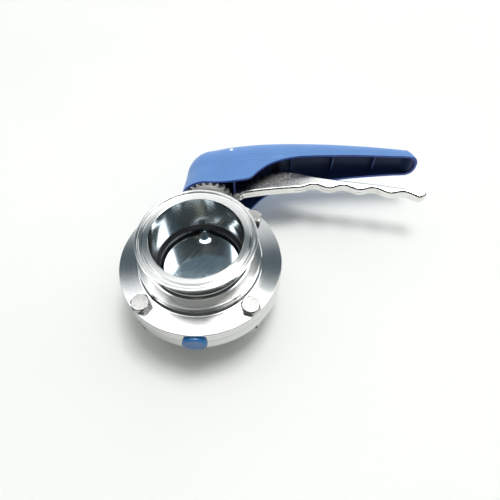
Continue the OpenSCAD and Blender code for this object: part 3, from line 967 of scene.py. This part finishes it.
# ---- Handle screw, washer and pin ----
head_y = WASHER_Y + 1.6
washer = lathe(fillet([(4.2, WASHER_Y, 0.2), (8, WASHER_Y, 0.2), (8, head_y, 0.2),
                       (4.2, head_y, 0.2)], 3), 64)
piece(build("grip_washer", moved(washer, STEM)), "handle", "fastener_steel", "handle_washer")
screw_outline = fillet([
    (0, head_y - 22), (BOLT_R, head_y - 22, 0.5), (BOLT_R, head_y), (6.5, head_y, 0.3),
    (6.5, head_y + 8, 0.9), (0, head_y + 8)], 4)
screw = build("grip_screw", moved(lathe(screw_outline, 64), STEM))
corners = [math.radians(60 * k) for k in range(6)]
hex_key = prism([(3.5 * math.cos(a), 3.5 * math.sin(a)) for a in corners], head_y + 3.5, head_y + 12)
cut(screw, "DIFFERENCE", moved(hex_key, STEM))
piece(screw, "handle", "fastener_steel", "handle_screw", sharp=28)
END_Y = PIN_Y - 1.6
pin_end = max(across for across, y, share in half_section(PIN_X, 0.0) if y >= END_Y) + 0.4
pin = joined(
    moved(lathe(fillet([(0, MID - 19), (2.5, MID - 19, 0.4), (2.5, MID + 19, 0.4), (0, MID + 19)], 3), 48),
          shift(PIN_X, PIN_Y)),
    *[moved(lathe(fillet([(0, 17), (1.7, 17, 0.2), (1.7, pin_end, 0.3), (0, pin_end)], 3), 32),
            shift(PIN_X, END_Y, MID) @ spin(flip, "X")) for flip in (0, 180)])
hinge_pin = piece(build("hinge_pin", pin), "handle", "fastener_steel", "trigger_pin")
hinge_pin.data.materials[0] = MATERIALS["pin_steel"]


# ---- Trigger ----
def wave(x):
    """Height of the finger waves."""
    return 86.3 - 0.00112 * (x - 95) ** 2 + 2 * math.cos(2 * math.pi * (x - 97) / 27.5)


WAVE_START, WAVE_END = 84, 192
outline = [(22.4, 74), (30.5, 74)]
outline += bezier((31.5, 76.4), (48, 80.5), (66, 82.4), (WAVE_START, wave(WAVE_START)), 16)
wave_xs = [WAVE_START + (WAVE_END - WAVE_START) * k / 108 for k in range(1, 109)]
outline += [(x, wave(x)) for x in wave_xs]
outline += bezier((195.5, 75.6), (199.5, 77.5), (200, 80), (195.5, 81.8), 10)
outline += [(160, 88.4), (122, 94), (100, 98)]
outline += bezier((88, 101.2), (74, 106), (58, 104.5), (44, 98), 14)
outline += [(34, 97), (26.3, 112)]
eye = [math.radians(10 + 170 * k / 18) for k in range(19)]
outline += [(PIN_X + 6.3 * math.cos(a), PIN_Y + 6.3 * math.sin(a)) for a in eye]
outline += [(20.5, 98), (22.4, 79.5)]
TRIGGER_HALF = 4.65
SPRING_X = 62
trigger = build("squeeze_trigger", prism(outline, MID - TRIGGER_HALF, MID + TRIGGER_HALF))
pawl_outline = [(19.7, -0.7), (22.8, -1.8), (24, -1.8), (24, 1.8), (22.8, 1.8), (19.7, 0.7)]
pawl = prism(pawl_outline, PLATE_Y + 0.2, PLATE_Y + PLATE_T - 0.2)
post = lathe([(0, 100), (1.8, 100), (1.8, 106.5), (1.3, 107), (0, 107)], 32)
bevel(trigger, 2.2, 7, 45, clamp=False)
cut(trigger, "UNION", moved(pawl, STEM), moved(post, shift(x=SPRING_X) @ STEM))
cut(trigger, "DIFFERENCE", moved(bar(2.55, 20, 70, 40), shift(PIN_X, PIN_Y)))
piece(trigger, "trigger", "cast_metal", "trigger", sharp=35)


# ---- Spring ----
def coil(radius, wire, low, high, turns):
    """Compression spring about the stem's direction, with closed ends."""
    steps, sides = 28, 10
    total = turns * steps
    verts, faces = [], []
    path = []
    for i in range(total + 1):
        t = i / total
        ease = t - 0.55 * math.sin(2 * math.pi * t) / (2 * math.pi)
        a = 2 * math.pi * i / steps
        height = low + wire + (high - low - 2 * wire) * ease
        path.append(Vector((radius * math.cos(a), radius * math.sin(a), height)))
    for i, p in enumerate(path):
        along = (path[min(i + 1, total)] - path[max(i - 1, 0)]).normalized()
        out = Vector((p.x, p.y, 0)).normalized()
        other = along.cross(out)
        for k in range(sides):
            a = 2 * math.pi * k / sides
            verts.append(tuple(p + wire * (math.cos(a) * out + math.sin(a) * other)))
    for i in range(total):
        for k in range(sides):
            n = (k + 1) % sides
            faces.append([i * sides + k, i * sides + n, (i + 1) * sides + n, (i + 1) * sides + k])
    faces.append(list(range(sides))[::-1])
    faces.append([total * sides + k for k in range(sides)])
    return verts, faces


spring_low, spring_high = box_mm("trigger_spring")
spring_shape = coil(3.6, 0.6, spring_low.y, spring_high.y, 9)
spring = build("return_spring", moved(spring_shape, shift(x=SPRING_X) @ STEM))
piece(spring, "handle", "spring_steel", "trigger_spring")
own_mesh(spring)


# ---- Floor, light and surroundings ----
floor_mesh = bpy.data.meshes.new("floor")
half = 6.0
floor_corners = [(-half, -half, 0), (half, -half, 0), (half, half, 0), (-half, half, 0)]
floor_mesh.from_pydata(floor_corners, [], [(0, 1, 2, 3)])
floor_mesh.materials.append(floor_paint())
floor = bpy.data.objects.new("floor", floor_mesh)
scene.collection.objects.link(floor)
floor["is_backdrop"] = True


def soft_light(name, size_x, size_y, power, place, target, color=(1, 1, 1)):
    data = bpy.data.lights.new(name, "AREA")
    data.shape = "RECTANGLE"
    data.size, data.size_y = size_x, size_y
    data.energy = power
    data.color = color
    obj = bpy.data.objects.new(name, data)
    scene.collection.objects.link(obj)
    obj.location = place
    obj.rotation_mode = "QUATERNION"
    obj.rotation_quaternion = (Vector(target) - Vector(place)).to_track_quat("-Z", "Y")


soft_light("overhead", 0.85, 0.85, 36.5, (0.4, 0.44, 2.55), (0.03, 0.0, 0.0), (1.0, 0.985, 0.96))


class Surround:
    """The studio round the object: panels of light by direction, each with soft edges."""

    def __init__(self):
        self.world = bpy.data.worlds.new("studio")
        scene.world = self.world
        self.world.use_nodes = True
        self.tree = self.world.node_tree
        direction = self.tree.nodes.new("ShaderNodeTexCoord").outputs["Generated"]
        split = self.tree.nodes.new("ShaderNodeSeparateXYZ")
        self.tree.links.new(direction, split.inputs[0])
        self.x, self.y, self.z = split.outputs
        self.mirrored = None        # light seen in shiny surfaces
        self.spilled = None         # light that falls on dull ones

    def step(self, value, low, high):
        node = self.tree.nodes.new("ShaderNodeMapRange")
        node.interpolation_type = "SMOOTHSTEP"
        self.tree.links.new(value, node.inputs["Value"])
        node.inputs["From Min"].default_value = low
        node.inputs["From Max"].default_value = high
        return node.outputs[0]

    def times(self, a, b):
        node = self.tree.nodes.new("ShaderNodeMath")
        node.operation = "MULTIPLY"
        self.tree.links.new(a, node.inputs[0])
        self.tree.links.new(b, node.inputs[1])
        return node.outputs[0]

    def panel(self, color, *limits, dull=False):
        """Adds color where every limit holds: (axis, from, to) rises from the one value to the other."""
        mask = None
        for axis, low, high in limits:
            value = self.step(getattr(self, axis), low, high) if low < high else self.fall(axis, high, low)
            mask = value if mask is None else self.times(mask, value)
        node = self.tree.nodes.new("ShaderNodeMix")
        node.data_type = "RGBA"
        self.tree.links.new(mask, node.inputs["Factor"])
        node.inputs[6].default_value = (0, 0, 0, 1)
        node.inputs[7].default_value = (*color, 1)
        before = self.spilled if dull else self.mirrored
        total = node.outputs[2]
        if before is not None:
            add = self.tree.nodes.new("ShaderNodeMix")
            add.data_type = "RGBA"
            add.blend_type = "ADD"
            add.clamp_result = False
            add.inputs["Factor"].default_value = 1.0
            self.tree.links.new(before, add.inputs[6])
            self.tree.links.new(total, add.inputs[7])
            total = add.outputs[2]
        if dull:
            self.spilled = total
        else:
            self.mirrored = total

    def fall(self, axis, low, high):
        node = self.tree.nodes.new("ShaderNodeMath")
        node.operation = "SUBTRACT"
        node.inputs[0].default_value = 1.0
        self.tree.links.new(self.step(getattr(self, axis), low, high), node.inputs[1])
        return node.outputs[0]

    def close(self, seen):
        """Joins the panels to the world. The camera itself sees one plain tone."""
        path = self.tree.nodes.new("ShaderNodeLightPath").outputs
        color = self.mirrored
        for ray, tone in (("Is Diffuse Ray", self.spilled), ("Is Camera Ray", seen)):
            mix = self.tree.nodes.new("ShaderNodeMix")
            mix.data_type = "RGBA"
            self.tree.links.new(path[ray], mix.inputs["Factor"])
            self.tree.links.new(color, mix.inputs[6])
            if hasattr(tone, "is_output"):
                self.tree.links.new(tone, mix.inputs[7])
            else:
                mix.inputs[7].default_value = (*tone, 1)
            color = mix.outputs[2]
        self.tree.links.new(color, self.tree.nodes["Background"].inputs["Color"])


around = Surround()
around.panel((0.085, 0.123, 0.148), ("z", -0.1, 0.0), ("y", -0.45, -0.1))
around.panel((0.045, 0.053, 0.053), ("y", -0.1, -0.45))
around.panel((0.2, 0.17, 0.12), ("y", -0.52, -0.62), ("x", -0.28, -0.12), ("x", 0.12, -0.04),
             ("z", 0.6, 0.7))
around.panel((0.22, 0.22, 0.21), ("z", 0.4, 0.0), ("y", -0.4, -0.1))
around.panel((1.35, 1.35, 1.32), ("y", 0.57, 0.62), ("z", 0.84, 0.78))
around.panel((4.2, 4.2, 4.15), ("y", -0.1, 0.0), ("y", 0.44, 0.36), ("x", -0.72, -0.62),
             ("x", 0.72, 0.62), ("z", 0.45, 0.55))
around.panel((0.08, 0.08, 0.08), ("z", -0.1, 0.0), dull=True)
around.panel((0.44, 0.44, 0.43), ("y", -0.4, 0.4), dull=True)
around.panel((0.28, 0.29, 0.28), ("x", -0.4, 0.4), dull=True)
around.close((0.95, 0.98, 0.95))

scene.view_settings.view_transform = "Standard"
scene.view_settings.look = "None"
scene.view_settings.exposure = 0.0
scene.cycles.max_bounces = 10
scene.cycles.glossy_bounces = 8

low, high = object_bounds()
